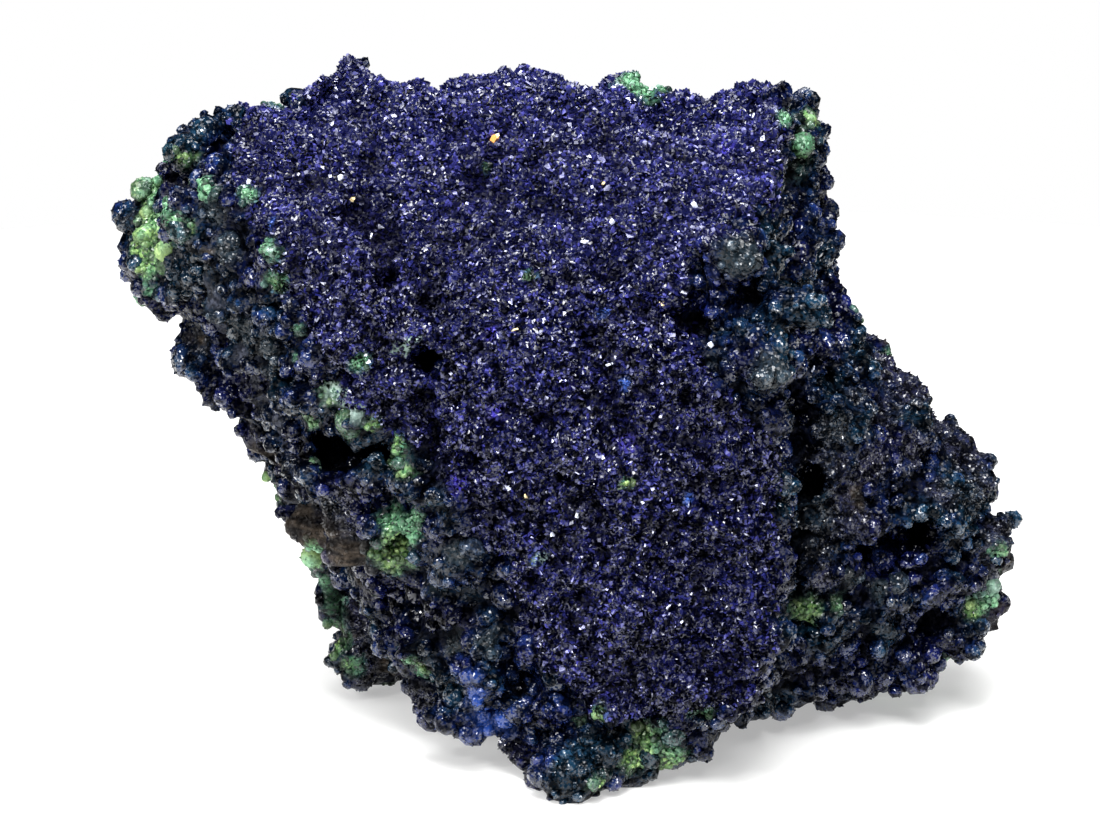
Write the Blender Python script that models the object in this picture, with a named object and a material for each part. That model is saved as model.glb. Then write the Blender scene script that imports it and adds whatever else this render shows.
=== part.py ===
"""Azurite specimen: one grown piece of matrix rock under an azurite crust.

Sizes are in millimetres and are turned into metres by MM. X runs to the right and Y to
the back, as seen by someone who faces the crystal-covered plate, and Z runs up.
"""

import math
import random

import bmesh
import bpy
from mathutils import Matrix, Vector, noise

MM = 0.001
NAME = "azurite_specimen"

# The rock's main masses. Each one is the convex hull of its corners, and they are fused.
MASSES = {
    "upper block behind the crystal plate": [
        (-27.0, -7, 57.2), (-27.5, -10, 51), (-24, -13, 40.5), (-13, -20, 40), (10, -22, 42),
        (17.5, -17, 50), (19.2, -7, 57.4), (5, -8, 57.4), (-11, -8, 56.8), (-28, 12, 50),
        (-23, 12, 34), (19.5, 14, 36), (19, 10, 52),
    ],
    "lower wedge of the crystal plate": [
        (-10, -21, 40), (11, -22, 42), (18, -21, 32.5), (18, -20, 15), (15.5, -19, 9),
        (3, -20, 7.5), (0, -20, 15), (-5.5, -20, 29), (-10, 8, 28), (20, 10, 27), (18, 2, 2.5),
        (0, 0, 2), (14.5, -14, 4.4),
    ],
    "front foot": [
        (-3, -15, 6), (-1.5, -15, 0.5), (2, -17, -0.7), (4.6, -15.5, -0.7), (9.8, -16, 1.6),
        (12.4, -16, 5), (0, -18, 14), (-2, -5, 0), (11.5, -6, 1.5), (4, -8, -0.7), (0, -10, -0.7),
        (3, -2, 8),
    ],
    "lobe between the left toe and the front foot": [
        (-9.5, -11, 4.4), (-5.5, -14, 4.6), (-3.7, -15, 4.4), (-2.4, -15, 2.4), (-8, -13, 9.5),
        (-2, -17, 10.5), (-7.5, -4, 4.5), (-1.5, -5, 3.5),
    ],
    "underside between the front foot and the right flank": [
        (13.5, -14.5, 5), (15.5, -12.5, 4.6), (18.6, -8, 2.9), (20.4, -6, 2.8), (12.5, -16, 8),
        (17.5, -18, 11), (22, -4, 5), (20, 4, 3), (13, 2, 4),
    ],
    "left flank below the plate": [
        (-29, -8, 43.5), (-23, -13, 39.5), (-10.5, -19.6, 38.9), (-5, -18.4, 26.5), (0, -17, 13),
        (-7.5, -13, 5), (-11, -11, 5.5), (-14.5, -10, 14), (-18.5, -8, 23), (-24, -4, 28),
        (-27, 0, 32), (-26.8, 10, 36.5), (-22, 8, 20), (-12.5, 6, 5), (-6, 4, 2.5),
    ],
    "upper left wing": [
        (-29.5, -2, 55), (-33.6, 0, 51.4), (-38.2, 2, 45), (-37.4, 2, 41.6), (-36, 2, 38.4),
        (-31.5, 0, 36.6), (-28, -8, 49.5), (-28.5, -7, 41.5), (-34.5, 10, 47.5), (-36, 10, 37),
        (-30.5, 12, 40.5),
    ],
    "left side under the wing": [
        (-33.4, 2, 35.2), (-31, 3, 31.5), (-25.8, 2, 29.5), (-21, 3, 25), (-21.4, 3, 19),
        (-21, 3, 17), (-29.5, -5, 42), (-19.5, -5, 25), (-15.5, -7, 17.5), (-29.5, 12, 31.5),
        (-22.5, 12, 17),
    ],
    "brown ledge": [
        (-26, 0, 19.9), (-25.7, 0, 18.1), (-23, -3, 20.4), (-18, -7.5, 21.4), (-16, -9.5, 20.5),
        (-17, -8.5, 18.6), (-21, -3.5, 17.2), (-20, 4, 21.5), (-20, 4, 16.5),
    ],
    "rear left foot": [
        (-21.2, 4, 15), (-20.2, 5, 10), (-19.4, 5, 4.2), (-18.4, 5.5, 2.6), (-14.5, 4.5, 2.6),
        (-13.5, 0, 11.5), (-15.5, -3, 18), (-20.5, 14, 6.5), (-19, 13, -0.7), (-14, 13, -0.7),
        (-13.5, 14, 10.5), (-18, 9, -0.7), (-15, 9, -0.7),
    ],
    "right flank": [
        (19, -12, 35), (19.5, -9, 7), (24, -2, 2.8), (27.5, -3.5, 4.2), (35, 0, 4.4), (39.4, 2, 8),
        (40, -1, 17), (36.5, 0, 23.5), (31.6, 0, 29.5), (26, 0, 34.5), (23.5, 1, 39.5),
        (24, 14, 35.5), (37, 13, 18.5), (39, 12, 8), (32, 12, 1.5), (20.5, 12, 0.5),
    ],
    "right column": [
        (20.3, 0, 54.8), (22.8, 3, 54.4), (22.6, 4, 47), (22, 5, 44), (22.3, 3, 41.5),
        (24.6, 3, 37.5), (18.5, -6, 47), (18, -3, 55), (20.5, 12, 51), (24, 13, 40.5),
        (18, -10, 37.5), (21, -5, 36.5),
    ],
    "back": [
        (-23, 15, 47), (-6, 17, 49.5), (16, 16, 48.5), (-25, 18, 41), (23, 19, 36), (32, 19, 17),
        (30.5, 18, 5), (13, 19, 1.5), (-6, 19, 2), (-16.5, 17, 10), (-23.5, 19, 30), (-21, 2, 43),
        (15, 2, 45), (21, 2, 30), (29, 2, 8), (12, 2, 5), (-5, 2, 6),
    ],
    "hidden rear foot": [
        (4.5, 10, 6), (13, 10, 6), (5.5, 18, -0.7), (11.5, 18, -0.7), (8.5, 14, -0.7), (4, 20.5, 6),
        (13, 20.5, 6),
    ],
}

# Knobs that are large enough to be known by their place: centre, then half sizes.
KNOBS = {
    "peak on the top edge": ((-17.6, -5, 59.8), (1.9, 2.0, 2.1)),
    "left shoulder of the peak": ((-20.4, -5, 57.6), (2.2, 2.0, 1.6)),
    "right shoulder of the peak": ((-15.6, -5, 57.4), (2.8, 2.4, 1.6)),
    "wide hump of the top edge": ((-3.0, -5.5, 56.0), (5.6, 4.0, 3.2)),
    "low hump of the top edge": ((5.6, -4.5, 55.8), (3.6, 3.0, 2.5)),
    "top right corner": ((18.6, -5, 58.0), (1.7, 2.0, 1.7)),
    "rise in the plate below the hump": ((-2.0, -10.6, 51.0), (8.0, 3.2, 5.0)),
    "rise left of the small hole": ((-19.5, -12.6, 46.0), (5.4, 2.6, 4.0)),
    "rise right of the main hole": ((-3.0, -20.2, 36.6), (5.6, 2.3, 6.0)),
    "rise in the middle of the wedge": ((8.0, -20.2, 30.0), (6.5, 2.3, 8.0)),
    "rise low on the wedge": ((6.4, -19.0, 17.0), (6.4, 2.4, 6.0)),
    "grey knob at the notch": ((13.8, -16.6, 47.4), (3.4, 3.6, 2.4)),
    "middle grey knob": ((17.2, -16.8, 42.4), (2.4, 3.2, 2.4)),
    "lower grey knob": ((15.8, -19.6, 38.4), (2.9, 3.0, 3.0)),
    "knob at the column's foot": ((21.2, 3.0, 43.6), (2.0, 2.4, 2.8)),
    "column head": ((22.0, 2.5, 53.6), (2.4, 3.0, 2.6)),
    "upper ball of the right flank": ((25.3, -6.0, 16.4), (2.0, 2.4, 2.2)),
    "lower ball of the right flank": ((27.8, -5.6, 14.0), (1.9, 2.4, 2.2)),
    "tail of the front foot": ((-2.2, -15.6, 1.7), (1.7, 2.0, 1.7)),
    "left toe": ((-9.4, -11.0, 5.6), (2.0, 2.0, 1.8)),
    "swell high on the back": ((6.0, 15.5, 43.0), (10.0, 4.5, 5.0)),
    "swell left of the back's middle": ((-12.0, 17.0, 29.0), (8.0, 4.6, 9.0)),
    "swell low on the back": ((14.0, 17.5, 15.0), (9.0, 3.8, 8.0)),
}

# Hollows cut into the surface: centre, then half sizes.
HOLLOWS = {
    "main hole in the plate": ((-10.7, -20.0, 38.0), (1.5, 4.6, 1.6)),
    "groove below the main hole": ((-9.4, -21.4, 34.4), (1.0, 2.6, 3.4)),
    "second hole in the plate": ((-7.3, -21.0, 31.0), (1.3, 4.4, 1.1)),
    "small hole in the plate": ((-14.3, -19.6, 45.6), (1.0, 3.4, 0.9)),
    "dip below the wide hump": ((-7.2, -14.6, 53.4), (1.7, 3.0, 1.5)),
    "notch beside the grey knobs": ((10.8, -21.0, 42.4), (1.5, 3.4, 2.1)),
    "low end of the notch": ((11.7, -22.2, 39.0), (1.1, 3.0, 1.6)),
    "cave in the left flank": ((-16.8, -14.0, 28.9), (4.8, 5.2, 2.1)),
    "floor of the left cave": ((-14.6, -14.6, 24.6), (2.8, 4.2, 1.7)),
    "left cave near the ridge": ((-22.4, -12.8, 34.8), (1.6, 3.2, 1.3)),
    "left cave under the wing": ((-28.6, -9.4, 43.0), (1.5, 3.2, 1.2)),
    "hole above the brown ledge": ((-12.6, -15.0, 21.2), (1.6, 3.4, 1.3)),
    "recess under the brown ledge": ((-15.6, -12.0, 13.6), (2.8, 5.0, 2.6)),
    "hole above the front foot": ((-4.6, -17.4, 12.4), (1.4, 3.0, 1.3)),
    "upper hole of the right flank": ((23.2, -9.0, 34.0), (1.8, 4.0, 1.6)),
    "middle hole of the right flank": ((27.6, -6.4, 29.6), (1.3, 3.6, 1.3)),
    "slot of the right flank": ((30.8, -6.2, 18.8), (2.4, 3.6, 1.3)),
    "crack of the right flank": ((32.0, -4.4, 15.4), (2.6, 2.6, 0.8)),
    "shadow behind the plate's edge": ((20.2, -12.0, 16.0), (1.5, 3.4, 4.0)),
    "hollow in the back": ((6.0, 21.0, 27.0), (7.0, 3.6, 4.6)),
    "slot in the back": ((-15.5, 20.0, 33.0), (3.6, 3.0, 2.0)),
    "hollow under the wing at the back": ((-26.0, 14.0, 37.0), (2.4, 3.4, 2.4)),
}

# The outline, in X and Z, inside which the front carries the even crust of small crystals.
PLATE_OUTLINE = [
    (-27, 51.5), (-27, 57), (-22, 60), (-17.5, 64), (5, 64), (18.5, 62), (18.5, 50), (11, 49),
    (10, 42), (15, 35), (18.5, 33), (18.5, 15), (17, 9.5), (11.5, 6.5), (3, 7), (0.5, 11.5),
    (-2, 19), (-6.5, 27), (-10, 30.5), (-15, 33), (-15.5, 39.5), (-22, 41.5), (-24, 48),
]
PLATE_FACES_FRONT = -0.25

# Grape-like lumps: spacing and sinking are shares of the radius.
LUMP_RADIUS = (1.2, 2.8)
LUMP_STRETCH = (0.85, 1.2)
LUMP_SPACING = 1.6
LUMP_SINK = 0.2
LUMP_CLEAR_OF_FLOOR = 0.3
LUMP_TRIES = 9000
LUMP_SEED = 23

# Small pits: one half width is the radius, and the other is the radius times the stretch.
PIT_RADIUS = (0.8, 1.5)
PIT_STRETCH = (0.8, 1.4)
PIT_DEPTH = 2.0
PIT_SPACING = 7.5
PIT_CLEAR_OF_FLOOR = 4.0
PIT_TRIES = 700
PIT_SEED = 33

ROUND_STEPS = 2
CORE_VOXEL = 1.4
BODY_VOXEL = 0.6
CUTTER_VOXEL = 0.275
SKIN_VOXEL = 0.55
SOFTENING = 2

# Uneven surface: size of the waves, then their height.
WAVES = [(11.0, 1.0), (5.0, 0.7), (2.6, 0.3)]

# Heights: where the feet are trimmed, the snapping range of that cut, and where the waves reach full height.
FOOT_HEIGHT = 0.0
FOOT_SNAP = 0.1
WAVES_FULL_HEIGHT = 4.0

TRIANGLES = 9800
SHARP_ANGLE = 40


def remove_startup_objects():
    for obj in list(bpy.data.objects):
        bpy.data.objects.remove(obj)


def add_hull(bm, corners):
    """Adds the convex hull of the corners as a closed shell of its own."""
    verts = [bm.verts.new(Vector(corner) * MM) for corner in corners]
    made = bmesh.ops.convex_hull(bm, input=verts)
    inside = set(made["geom_interior"]) | set(made["geom_unused"])
    bmesh.ops.delete(bm, geom=[g for g in inside if isinstance(g, bmesh.types.BMVert)], context="VERTS")


def add_ellipsoid(bm, centre, half_sizes, turn=None):
    """Adds a round body: centre and half sizes in millimetres, and an optional rotation."""
    place = Matrix.Translation(Vector(centre) * MM)
    if turn is not None:
        place = place @ turn.to_4x4()
    size = Matrix.Diagonal((*[half * MM for half in half_sizes], 1))
    bmesh.ops.create_icosphere(bm, subdivisions=ROUND_STEPS, radius=1, matrix=place @ size)


def mesh_of(bm, name):
    mesh = bpy.data.meshes.new(name)
    bm.to_mesh(mesh)
    bm.free()
    return mesh


def with_modifiers(mesh, *modifiers):
    """The mesh after these modifiers, each a type and its settings."""
    obj = bpy.data.objects.new("working", mesh)
    bpy.context.scene.collection.objects.link(obj)
    for kind, settings in modifiers:
        modifier = obj.modifiers.new(kind.lower(), kind)
        for key, value in settings.items():
            setattr(modifier, key, value)
    graph = bpy.context.evaluated_depsgraph_get()
    made = bpy.data.meshes.new_from_object(obj.evaluated_get(graph))
    bpy.data.objects.remove(obj)
    return made


def fused(mesh, voxel):
    """Overlapping shells made one skin of even faces."""
    return with_modifiers(mesh, ("REMESH", {"mode": "VOXEL", "voxel_size": voxel * MM}))


def largest_shell(mesh):
    """The mesh without the small shells that lie inside it or beside it."""
    bm = bmesh.new()
    bm.from_mesh(mesh)
    left = set(bm.faces)
    shells = []
    while left:
        shell, reached = set(), [left.pop()]
        while reached:
            face = reached.pop()
            shell.add(face)
            near = {other for edge in face.edges for other in edge.link_faces if other in left}
            left -= near
            reached.extend(near)
        shells.append(shell)
    shells.sort(key=len)
    bmesh.ops.delete(bm, geom=[face for shell in shells[:-1] for face in shell], context="FACES")
    return mesh_of(bm, mesh.name)


def inside_outline(x, z, outline):
    inside = False
    for (x1, z1), (x2, z2) in zip(outline, outline[1:] + outline[:1]):
        if (z1 > z) != (z2 > z) and x < x1 + (z - z1) * (x2 - x1) / (z2 - z1):
            inside = not inside
    return inside


def on_plate(point, normal):
    """Whether a place belongs to the even crystal crust of the front."""
    x, _, z = point / MM
    return normal.y < PLATE_FACES_FRONT and inside_outline(x, z, PLATE_OUTLINE)


def masses():
    bm = bmesh.new()
    for corners in MASSES.values():
        add_hull(bm, corners)
    for centre, half_sizes in KNOBS.values():
        add_ellipsoid(bm, centre, half_sizes)
    return bm


def add_lumps(bm, core):
    """Sets grape-like lumps all over the core, except on the crystal plate."""
    rng = random.Random(LUMP_SEED)
    faces = list(core.polygons)
    areas = [face.area for face in faces]
    placed = []
    for face in rng.choices(faces, weights=areas, k=LUMP_TRIES):
        radius = rng.uniform(*LUMP_RADIUS)
        centre = face.center / MM - face.normal * radius * LUMP_SINK
        if centre.z < radius + LUMP_CLEAR_OF_FLOOR or on_plate(face.center, face.normal):
            continue
        if any((centre - other).length < LUMP_SPACING * (radius + size) / 2 for other, size in placed):
            continue
        placed.append((centre, radius))
        add_ellipsoid(bm, centre, [radius * rng.uniform(*LUMP_STRETCH) for _ in range(3)])
    return bm


def add_pits(bm, core):
    """Sets small deep pits all over the core, except on the crystal plate and low down."""
    rng = random.Random(PIT_SEED)
    faces = list(core.polygons)
    placed = []
    for face in rng.choices(faces, weights=[face.area for face in faces], k=PIT_TRIES):
        centre = face.center / MM
        radius = rng.uniform(*PIT_RADIUS)
        if centre.z < PIT_CLEAR_OF_FLOOR or on_plate(face.center, face.normal):
            continue
        if any((centre - other).length < PIT_SPACING for other in placed):
            continue
        placed.append(centre)
        turn = face.normal.to_track_quat("Z", "Y").to_matrix()
        add_ellipsoid(bm, centre, [radius * rng.uniform(*PIT_STRETCH), radius, PIT_DEPTH], turn)


def cut_hollows(mesh, core):
    """Cuts the holes, caves and pits."""
    bm = bmesh.new()
    add_pits(bm, core)
    for centre, half_sizes in HOLLOWS.values():
        add_ellipsoid(bm, centre, half_sizes)
    cutter = bpy.data.objects.new("hollows", fused(mesh_of(bm, "hollows"), CUTTER_VOXEL))
    bpy.context.scene.collection.objects.link(cutter)
    made = with_modifiers(mesh, ("BOOLEAN", {"operation": "DIFFERENCE", "solver": "EXACT", "object": cutter}))
    bpy.data.objects.remove(cutter)
    return made


def add_waves(mesh):
    """Pushes the surface in and out in irregular waves."""
    mesh.update()
    moves = []
    for vert in mesh.vertices:
        place = vert.co / MM
        height = sum(noise.noise(place / size) * high for size, high in WAVES)
        calm = min(1, max(0, place.z / WAVES_FULL_HEIGHT))
        moves.append(vert.normal * height * calm * MM)
    for vert, move in zip(mesh.vertices, moves):
        vert.co += move


def lightened(mesh):
    """An even skin, softened a little and then thinned to the triangle count."""
    skin = with_modifiers(
        mesh,
        ("REMESH", {"mode": "VOXEL", "voxel_size": SKIN_VOXEL * MM}),
        ("SMOOTH", {"factor": 0.5, "iterations": SOFTENING}),
    )
    share = TRIANGLES / sum(len(face.vertices) - 2 for face in skin.polygons)
    return with_modifiers(skin, ("DECIMATE", {"ratio": share}))


def set_on_feet(bm):
    """Trims the feet to flats on one level, and centres the rock over the origin."""
    floor = Vector((0, 0, FOOT_HEIGHT * MM))
    cut = bmesh.ops.bisect_plane(
        bm,
        geom=bm.verts[:] + bm.edges[:] + bm.faces[:],
        dist=FOOT_SNAP * MM,
        plane_co=floor,
        plane_no=(0, 0, 1),
        use_snap_center=True,
        clear_inner=True,
    )
    rims = [g for g in cut["geom_cut"] if isinstance(g, bmesh.types.BMEdge)]
    bmesh.ops.holes_fill(bm, edges=rims)
    for axis in (0, 1):
        values = [vert.co[axis] for vert in bm.verts]
        floor[axis] = (min(values) + max(values)) / 2
    bmesh.ops.translate(bm, verts=bm.verts, vec=-floor)
    bmesh.ops.triangulate(bm, faces=[face for face in bm.faces if len(face.verts) > 3])


def azurite_material():
    material = bpy.data.materials.new("azurite")
    material.use_nodes = True
    shader = material.node_tree.nodes["Principled BSDF"]
    shader.inputs["Base Color"].default_value = (0.02, 0.022, 0.13, 1)
    shader.inputs["Roughness"].default_value = 0.35
    shader.inputs["Metallic"].default_value = 0
    return material


def build_specimen():
    core = fused(mesh_of(masses(), "core"), CORE_VOXEL)
    lumpy = fused(mesh_of(add_lumps(masses(), core), "lumpy"), BODY_VOXEL)
    hollowed = cut_hollows(largest_shell(lumpy), core)
    add_waves(hollowed)
    bm = bmesh.new()
    bm.from_mesh(largest_shell(lightened(hollowed)))
    set_on_feet(bm)
    mesh = mesh_of(bm, NAME)
    mesh.shade_smooth()
    mesh.set_sharp_from_angle(angle=math.radians(SHARP_ANGLE))
    mesh.materials.clear()
    mesh.materials.append(azurite_material())
    specimen = bpy.data.objects.new(NAME, mesh)
    bpy.context.scene.collection.objects.link(specimen)
    return specimen


def main():
    remove_startup_objects()
    build_specimen()


main()
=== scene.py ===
"""Azurite specimen: a lump of matrix rock under crusts of azurite and malachite.

Lengths are in millimetres and are turned into metres by MM. X runs to the right and Y to
the back, as seen by someone who faces the crystal-covered plate, and Z runs up.
"""

import math
import random

import bmesh
import bpy
import numpy as np
from bpy.props import FloatProperty, FloatVectorProperty, IntProperty, PointerProperty
from mathutils import Matrix, Vector, noise
from mathutils.bvhtree import BVHTree


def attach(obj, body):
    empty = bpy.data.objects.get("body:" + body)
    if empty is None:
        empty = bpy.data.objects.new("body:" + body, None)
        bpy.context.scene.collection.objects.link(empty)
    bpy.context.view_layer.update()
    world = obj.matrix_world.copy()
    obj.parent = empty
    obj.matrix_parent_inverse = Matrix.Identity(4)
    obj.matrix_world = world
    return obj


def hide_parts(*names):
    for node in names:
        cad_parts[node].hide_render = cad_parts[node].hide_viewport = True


bl_info = {
    "name": "Azurite Specimen",
    "version": (1, 0, 0),
    "blender": (4, 5, 0),
    "location": "View3D > Sidebar > Azurite",
    "description": "Builds a lump of rock with crusts of azurite and malachite",
    "category": "Object",
}

MM = 0.001
MERGE_DISTANCE = 1e-6
SLIVER = 1e-9
FAR = 1e9
COLOUR_RANGE = {"subtype": "COLOR", "size": 3, "min": 0.0, "max": 1.0}
ROCK_NODE = "azurite_specimen"
ROCK = "rock_body"
BODY = "root"

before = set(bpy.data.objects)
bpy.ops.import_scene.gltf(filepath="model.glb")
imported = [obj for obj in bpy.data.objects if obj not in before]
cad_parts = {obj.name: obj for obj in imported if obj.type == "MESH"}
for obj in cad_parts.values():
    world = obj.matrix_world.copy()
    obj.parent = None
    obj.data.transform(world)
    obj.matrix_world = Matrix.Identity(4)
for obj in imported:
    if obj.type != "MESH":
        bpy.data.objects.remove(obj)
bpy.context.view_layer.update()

# The photograph's camera: how far it stands from the lump, and where its target falls in the picture.
PHOTO_WIDTH = 1100
PHOTO_HEIGHT = 825
SENSOR_WIDTH = 36.0
TARGET = (-1.0, 0.2, 27.0)
TARGET_PIXEL = (563, 432)
ELEVATION = 16.0
DISTANCE = 260.0
FOCAL_PIXELS = 2938
CLIP_START = 0.01

# The part of the outline, in X and Z, inside which the front carries the even crystal crust.
DRUSE_OUTLINE = [
    (-28.6, 51.7), (-28.9, 57.2), (-23.5, 60), (-19.2, 66), (3.4, 66), (17.6, 62), (17.0, 50.3),
    (9.4, 48.9), (8.5, 41.8), (13.6, 34.5), (16.7, 32.9), (16.7, 15.2), (15.5, 9.4), (9.9, 6.5),
    (1.5, 7.2), (-2.5, 11.4), (-5.5, 19), (-9.3, 26.9), (-13.0, 30.4), (-19.5, 33.4), (-21.0, 39.4),
    (-24.4, 41.8), (-26.2, 47.8),
]

# Where the plate's crust ends: its border's width and raggedness, and how far it reaches round the edges.
DRUSE_BORDER = 0.8
DRUSE_RAGGED = 1.2
DRUSE_WOBBLE = 0.7
PLATE_TURN = (-0.05, -0.35)
PLATE_RISE = (0.25, 0.6)
PLATE_DEPTH = (2.0, -1.0)
PLATE_RAGGED = 2.5

# The plate's crust is three pieces, one above the other: lowest and highest Z of each.
DRUSE_BANDS = {"upper": (47.0, 99.0), "middle": (32.0, 47.0), "lower": (0.0, 32.0)}

# The grape-like crust is parted into a front and a back piece at this Y.
RIND_SPLIT_DEPTH = 3.0

# Coloured places on the crust: pixel x, pixel y, radius.
GREEN_SPOTS = [
    (181, 162, 1.4), (153, 194, 1.6), (153, 219, 1.6), (155, 235, 1.8), (139, 249, 1.2), (176, 224, 1.6),
    (201, 187, 1.2), (247, 194, 0.9), (146, 272, 1.2), (153, 292, 1.0), (264, 252, 1.3), (277, 280, 1.2),
    (297, 330, 0.8), (299, 356, 0.7), (330, 393, 1.2), (359, 364, 1.0), (311, 421, 0.9), (350, 430, 1.0),
    (372, 426, 0.9), (396, 447, 1.3), (398, 460, 1.2), (407, 470, 1.0), (314, 463, 0.9), (400, 530, 2.4),
    (395, 555, 2.2), (415, 522, 1.6), (415, 660, 1.6), (425, 672, 1.4), (313, 562, 1.5), (322, 580, 1.5),
    (333, 602, 1.4), (338, 625, 1.4), (341, 648, 1.4), (353, 663, 1.3), (165, 205, 1.3), (168, 245, 1.2),
    (158, 180, 1.2), (160, 262, 1.1), (315, 549, 1.1), (582, 718, 0.9), (598, 716, 0.9), (704, 709, 1.2),
    (651, 737, 2.0), (632, 760, 1.6), (672, 760, 1.8), (600, 787, 0.9), (806, 612, 1.5), (838, 602, 1.0),
    (1001, 554, 1.1), (992, 593, 1.5), (975, 607, 1.4), (948, 660, 1.2), (810, 118, 1.4), (801, 150, 1.1),
    (786, 115, 1.0), (636, 84, 2.2), (662, 87, 0.8), (488, 165, 0.5), (531, 276, 0.5), (626, 482, 0.5),
]
AZURE_SPOTS = [
    (490, 712, 2.4), (472, 690, 1.6), (505, 725, 1.4), (271, 224, 0.8), (626, 381, 0.6), (686, 498, 0.6),
    (602, 313, 0.5), (538, 555, 0.5),
]
PALE_SPOTS = [
    (335, 392, 1.0), (345, 401, 1.2), (356, 412, 1.0), (402, 346, 0.9), (412, 341, 0.6), (270, 255, 0.6),
    (992, 590, 0.8), (300, 330, 0.6), (540, 560, 0.5),
]
VIOLET_SPOTS = [
    (494, 414, 1.0), (493, 332, 0.8), (627, 442, 1.0), (569, 388, 0.8), (725, 148, 0.9), (460, 484, 1.0),
]
BROWN_SPOTS = [
    (292, 522, 2.2), (302, 526, 2.4), (316, 532, 2.6), (330, 540, 2.6), (343, 550, 2.5), (353, 562, 2.3),
    (360, 578, 1.8), (858, 499, 1.2), (206, 253, 0.7), (201, 338, 0.8),
]

# Smooth noise that makes borders uneven, and that places the patches out of the camera's sight: size, seed.
RAGGED_NOISE = (3.0, 1)
WOBBLE_NOISE = (1.1, 2)
HIDDEN_GREEN_NOISE = (6.5, 3)
HIDDEN_ROCK_NOISE = (13.0, 6)
NOISE_SHIFT = (17.3, 5.1, 9.7)

# Sides out of sight: the Y at which they start, and how high the noise has to be for green or bare patches.
HIDDEN_DEPTH = (-2.0, 4.0)
HIDDEN_GREEN = (0.27, 0.39)
HIDDEN_GREEN_WOBBLE = 0.12
HIDDEN_ROCK = (0.3, 0.42)
HIDDEN_ROCK_RAGGED = 0.4

# Green places right of this border in X carry small grains in place of most balls.
WING_EDGE = (-33.0, -28.0)
GRAINY_BALLS = 0.85
BALLED_GRAINS = 0.4

# Share of fine crystals on the bare brown rock.
BROWN_CRYSTALS = 0.15

# The flats of the feet stay free of balls: how far down a face looks there, and up to what height.
UNDER_TURN = (-0.5, -0.8)
UNDER_HEIGHT = (0.8, 0.3)

# Borders of the coloured places, of the balls at the plate's edge, and of the upper plate, where painted
# light makes the crystals brighter.
SPOT_BORDER = (0.0, 0.4)
SPOT_WOBBLE = 0.45
SLATE_WOBBLE = 0.4
RIND_BORDER = (0.75, 0.35)
CROWN_HEIGHT = (42.0, 54.0)
CROWN_RAGGED = 2.0

# Rises of the rock: pixel x, pixel y, radius, and how far they stand out (or in, below zero).
RISES = [
    (118, 215, 6.5, 1.6), (135, 190, 3.0, -0.5), (130, 290, 4.5, 1.0), (208, 400, 4.0, 1.9),
    (265, 458, 4.5, -3.4), (258, 470, 5.5, -1.6), (252, 452, 4.5, -2.6), (238, 426, 3.0, -0.8),
    (274, 484, 3.5, -1.2), (266, 446, 3.5, -2.4), (284, 486, 3.0, -2.2), (285, 500, 3.5, -2.6),
    (302, 525, 2.6, 1.2), (325, 537, 2.6, 1.5), (345, 555, 2.4, 1.2), (335, 608, 3.0, -2.6),
    (326, 600, 2.4, -1.6), (352, 668, 3.0, 2.0), (178, 150, 3.0, 1.8), (160, 312, 3.5, 1.8),
    (196, 378, 3.0, 2.0), (375, 84, 2.5, 1.2), (303, 84, 4.5, -3.4), (452, 86, 3.5, -2.0),
    (500, 78, 6.5, 0.8), (580, 92, 2.5, 1.0), (610, 82, 5.0, -0.3), (695, 108, 6.0, -2.6),
    (655, 100, 4.0, -1.2), (738, 102, 3.5, -1.2), (405, 96, 3.5, 0.8), (772, 86, 3.2, -1.4),
    (832, 124, 2.5, -1.2), (795, 95, 2.5, 0.9), (832, 222, 2.5, 0.9), (824, 260, 3.0, -3.2),
    (865, 320, 2.2, 0.8), (905, 360, 4.5, -1.9), (940, 400, 3.5, 0.9), (955, 430, 3.5, -2.0),
    (975, 455, 3.0, -1.0), (1000, 516, 2.4, -1.8), (1002, 545, 2.5, 0.6), (992, 605, 4.0, 1.2),
    (970, 658, 3.0, -0.9), (932, 680, 3.0, 0.5), (895, 690, 3.0, -1.2), (735, 725, 2.5, -1.4),
    (414, 700, 3.2, -3.2), (465, 722, 3.0, 2.4), (518, 764, 3.0, -2.6), (530, 770, 2.8, -1.6),
    (565, 775, 4.5, 3.6), (590, 790, 4.0, 2.0), (640, 778, 3.5, 0.8), (737, 262, 3.6, 3.2),
    (785, 312, 3.0, 3.0), (766, 374, 2.8, 2.6), (725, 305, 2.2, 1.4), (786, 400, 1.6, 1.2),
    (787, 430, 1.6, 1.2), (787, 460, 1.6, 1.2), (787, 490, 1.6, 1.2), (786, 520, 1.6, 1.2),
    (786, 550, 1.6, 1.2), (784, 580, 1.6, 1.2), (782, 610, 1.6, 1.1), (778, 640, 1.6, 1.0),
]

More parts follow.
